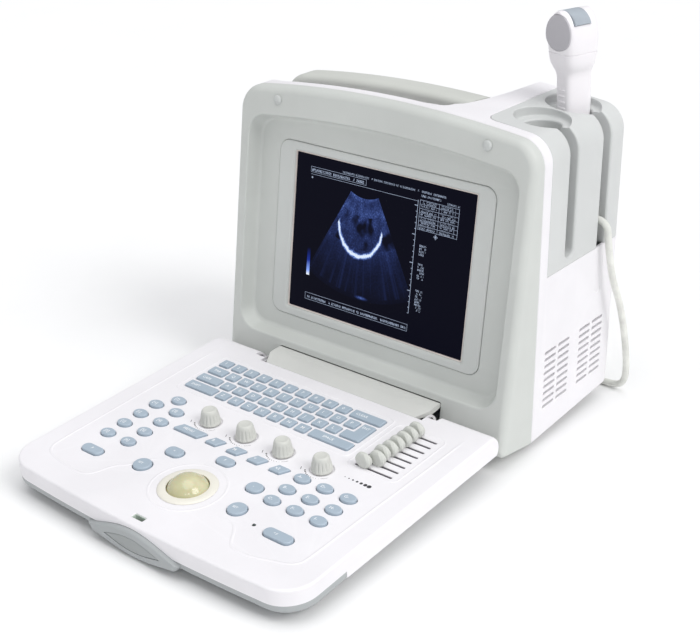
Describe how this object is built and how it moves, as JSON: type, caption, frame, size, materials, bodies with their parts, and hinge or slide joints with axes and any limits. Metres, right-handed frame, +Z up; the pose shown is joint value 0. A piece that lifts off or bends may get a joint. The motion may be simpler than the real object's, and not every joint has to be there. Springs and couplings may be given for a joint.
{
  "type": "ultrasound scanner",
  "caption": "Portable B-mode ultrasound scanner: arched casing with a recessed screen, probe holder, carry handle and a fold-up control panel.",
  "frame": {"origin": "middle of the scanner's footprint, on the surface it stands on", "axes": "+Z up, the screen and the control panel face -Y, +X is the user's right"},
  "size_m": [0.3558, 0.5936, 0.3919],
  "materials": {
    "bezel_grey": "fine spark texture, satin",
    "screen_surround": "satin",
    "casing_white": "fine spark texture, satin",
    "holder_grey": "satin",
    "handle_grey": "satin",
    "tongue_grey": "satin",
    "dark_grey_plastic": "satin",
    "screen_glass": "low gloss display",
    "stop_dot": "matt",
    "foot_rubber": "matt",
    "circuit_board": "solder mask",
    "sheet_steel": "plated",
    "hinge_steel": "ground",
    "hinge_arm": "die cast",
    "fan_black": "satin",
    "socket_black": "satin",
    "key_blue": "moulded keys, pale legends",
    "knob_grey": "satin",
    "ball_cream": "polished resin",
    "ring_ivory": "satin",
    "lamp_smoke": "clear",
    "probe_white": "satin gloss",
    "lens_grey": "matt silicone",
    "relief_grey": "matt",
    "cable_ivory": "satin jacket",
    "connector_grey": "satin"
  },
  "bodies": {
    "root": {"front_bezel": "bezel_grey", "stop_dot_left": "stop_dot", "stop_dot_right": "stop_dot", "screen_frame": "screen_surround", "lcd_screen": "screen_glass", "main_housing": "casing_white", "probe_holder": "holder_grey", "carry_handle": "handle_grey", "rear_panel": "dark_grey_plastic", "base_pan": "dark_grey_plastic", "rear_foot": "foot_rubber", "middle_foot": "foot_rubber", "main_board": "circuit_board", "power_supply": "sheet_steel", "fan_frame": "fan_black", "power_inlet": "socket_black", "probe_socket": "socket_black", "hinge_arm_left": "hinge_arm", "hinge_arm_right": "hinge_arm", "probe_cable": "cable_ivory", "cable_coil": "cable_ivory", "connector_cable": "cable_ivory", "probe_connector": "connector_grey"},
    "control_panel": {"keyboard_top_cover": "casing_white", "hinge_cover": "tongue_grey", "keyboard_bottom_cover": "dark_grey_plastic", "front_foot_left": "foot_rubber", "front_foot_right": "foot_rubber", "keyboard_board": "circuit_board", "hinge_shaft": "hinge_steel", "trackball_ring": "ring_ivory", "status_lamp": "lamp_smoke"},
    "probe": {"probe_body": "probe_white", "probe_lens": "lens_grey", "probe_strain_relief": "relief_grey"},
    "fan_rotor": {"fan_rotor": "fan_black"},
    "trackball": {"trackball": "ball_cream"},
    "knob_1": {"knob_1": "knob_grey"},
    "knob_2": {"knob_2": "knob_grey"},
    "knob_3": {"knob_3": "knob_grey"},
    "knob_4": {"knob_4": "knob_grey"},
    "slider_1": {"slider_1": "knob_grey"},
    "slider_2": {"slider_2": "knob_grey"},
    "slider_3": {"slider_3": "knob_grey"},
    "slider_4": {"slider_4": "knob_grey"},
    "slider_5": {"slider_5": "knob_grey"},
    "slider_6": {"slider_6": "knob_grey"},
    "slider_7": {"slider_7": "knob_grey"},
    "slider_8": {"slider_8": "knob_grey"},
    "qwerty_keypad": {"qwerty_keypad": "key_blue"},
    "left_keypad": {"left_keypad": "key_blue"},
    "soft_keypad": {"soft_keypad": "key_blue"},
    "right_keypad": {"right_keypad": "key_blue"},
    "print_key": {"print_key": "key_blue"},
    "set_key_left": {"set_key_left": "key_blue"},
    "set_key_right": {"set_key_right": "key_blue"},
    "depth_key_left": {"depth_key_left": "key_blue"},
    "depth_key_right": {"depth_key_right": "key_blue"},
    "menu_key": {"menu_key": "key_blue"},
    "freeze_key": {"freeze_key": "key_blue"}
  },
  "joints": [
    {"name": "panel_fold", "type": "hinge", "parent": "root", "child": "control_panel", "pos_m": [0, 0.03225, 0.03198], "axis": [-1, 0, 0], "range_deg": [0, 100.3]},
    {"name": "probe_lift", "type": "slide", "parent": "root", "child": "probe", "axis": [0, 0, 1], "range_m": [0, 0.11]},
    {"name": "fan_spin", "type": "hinge", "parent": "root", "child": "fan_rotor", "pos_m": [-0.092, 0.22125, 0.156], "axis": [0, -1, 0], "continuous": true},
    {"name": "ball_roll", "type": "hinge", "parent": "control_panel", "child": "trackball", "pos_m": [0, -0.17516, 0.02751], "axis": [1, 0, 0], "continuous": true},
    {"name": "knob_1_turn", "type": "hinge", "parent": "control_panel", "child": "knob_1", "pos_m": [-0.057, -0.08962, 0.03985], "axis": [0, -0.0447, 0.999], "range_deg": [-140, 140]},
    {"name": "knob_2_turn", "type": "hinge", "parent": "control_panel", "child": "knob_2", "pos_m": [-0.013, -0.08962, 0.03985], "axis": [0, -0.0447, 0.999], "range_deg": [-140, 140]},
    {"name": "knob_3_turn", "type": "hinge", "parent": "control_panel", "child": "knob_3", "pos_m": [0.031, -0.08962, 0.03985], "axis": [0, -0.0447, 0.999], "range_deg": [-140, 140]},
    {"name": "knob_4_turn", "type": "hinge", "parent": "control_panel", "child": "knob_4", "pos_m": [0.0755, -0.08962, 0.03985], "axis": [0, -0.0447, 0.999], "range_deg": [-140, 140]},
    {"name": "slider_1_slide", "type": "slide", "parent": "control_panel", "child": "slider_1", "axis": [1, 0, 0], "range_m": [-0.0155, 0.0192]},
    {"name": "slider_2_slide", "type": "slide", "parent": "control_panel", "child": "slider_2", "axis": [1, 0, 0], "range_m": [-0.0155, 0.0192]},
    {"name": "slider_3_slide", "type": "slide", "parent": "control_panel", "child": "slider_3", "axis": [1, 0, 0], "range_m": [-0.0155, 0.0192]},
    {"name": "slider_4_slide", "type": "slide", "parent": "control_panel", "child": "slider_4", "axis": [1, 0, 0], "range_m": [-0.0148, 0.0199]},
    {"name": "slider_5_slide", "type": "slide", "parent": "control_panel", "child": "slider_5", "axis": [1, 0, 0], "range_m": [-0.0146, 0.0201]},
    {"name": "slider_6_slide", "type": "slide", "parent": "control_panel", "child": "slider_6", "axis": [1, 0, 0], "range_m": [-0.0132, 0.0215]},
    {"name": "slider_7_slide", "type": "slide", "parent": "control_panel", "child": "slider_7", "axis": [1, 0, 0], "range_m": [-0.0154, 0.0193]},
    {"name": "slider_8_slide", "type": "slide", "parent": "control_panel", "child": "slider_8", "axis": [1, 0, 0], "range_m": [-0.0073, 0.0274]},
    {"name": "qwerty_keypad_press", "type": "slide", "parent": "control_panel", "child": "qwerty_keypad", "axis": [0, 0.0447, -0.999], "range_m": [0, 0.0012], "stiffness_N_per_m": 500, "springref_m": -0.002},
    {"name": "left_keypad_press", "type": "slide", "parent": "control_panel", "child": "left_keypad", "axis": [0, 0.0447, -0.999], "range_m": [0, 0.0012], "stiffness_N_per_m": 500, "springref_m": -0.002},
    {"name": "soft_keypad_press", "type": "slide", "parent": "control_panel", "child": "soft_keypad", "axis": [0, 0.0447, -0.999], "range_m": [0, 0.0012], "stiffness_N_per_m": 500, "springref_m": -0.002},
    {"name": "right_keypad_press", "type": "slide", "parent": "control_panel", "child": "right_keypad", "axis": [0, 0.0447, -0.999], "range_m": [0, 0.0012], "stiffness_N_per_m": 500, "springref_m": -0.002},
    {"name": "print_key_press", "type": "slide", "parent": "control_panel", "child": "print_key", "axis": [0, 0.0447, -0.999], "range_m": [0, 0.0012], "stiffness_N_per_m": 250, "springref_m": -0.0012},
    {"name": "set_key_left_press", "type": "slide", "parent": "control_panel", "child": "set_key_left", "axis": [0, 0.0447, -0.999], "range_m": [0, 0.0012], "stiffness_N_per_m": 250, "springref_m": -0.0012},
    {"name": "set_key_right_press", "type": "slide", "parent": "control_panel", "child": "set_key_right", "axis": [0, 0.0447, -0.999], "range_m": [0, 0.0012], "stiffness_N_per_m": 250, "springref_m": -0.0012},
    {"name": "depth_key_left_press", "type": "slide", "parent": "control_panel", "child": "depth_key_left", "axis": [0, 0.0447, -0.999], "range_m": [0, 0.0012], "stiffness_N_per_m": 250, "springref_m": -0.0012},
    {"name": "depth_key_right_press", "type": "slide", "parent": "control_panel", "child": "depth_key_right", "axis": [0, 0.0447, -0.999], "range_m": [0, 0.0012], "stiffness_N_per_m": 250, "springref_m": -0.0012},
    {"name": "menu_key_press", "type": "slide", "parent": "control_panel", "child": "menu_key", "axis": [0, 0.0447, -0.999], "range_m": [0, 0.0012], "stiffness_N_per_m": 250, "springref_m": -0.0012},
    {"name": "freeze_key_press", "type": "slide", "parent": "control_panel", "child": "freeze_key", "axis": [0, 0.0447, -0.999], "range_m": [0, 0.0012], "stiffness_N_per_m": 250, "springref_m": -0.0012}
  ]
}
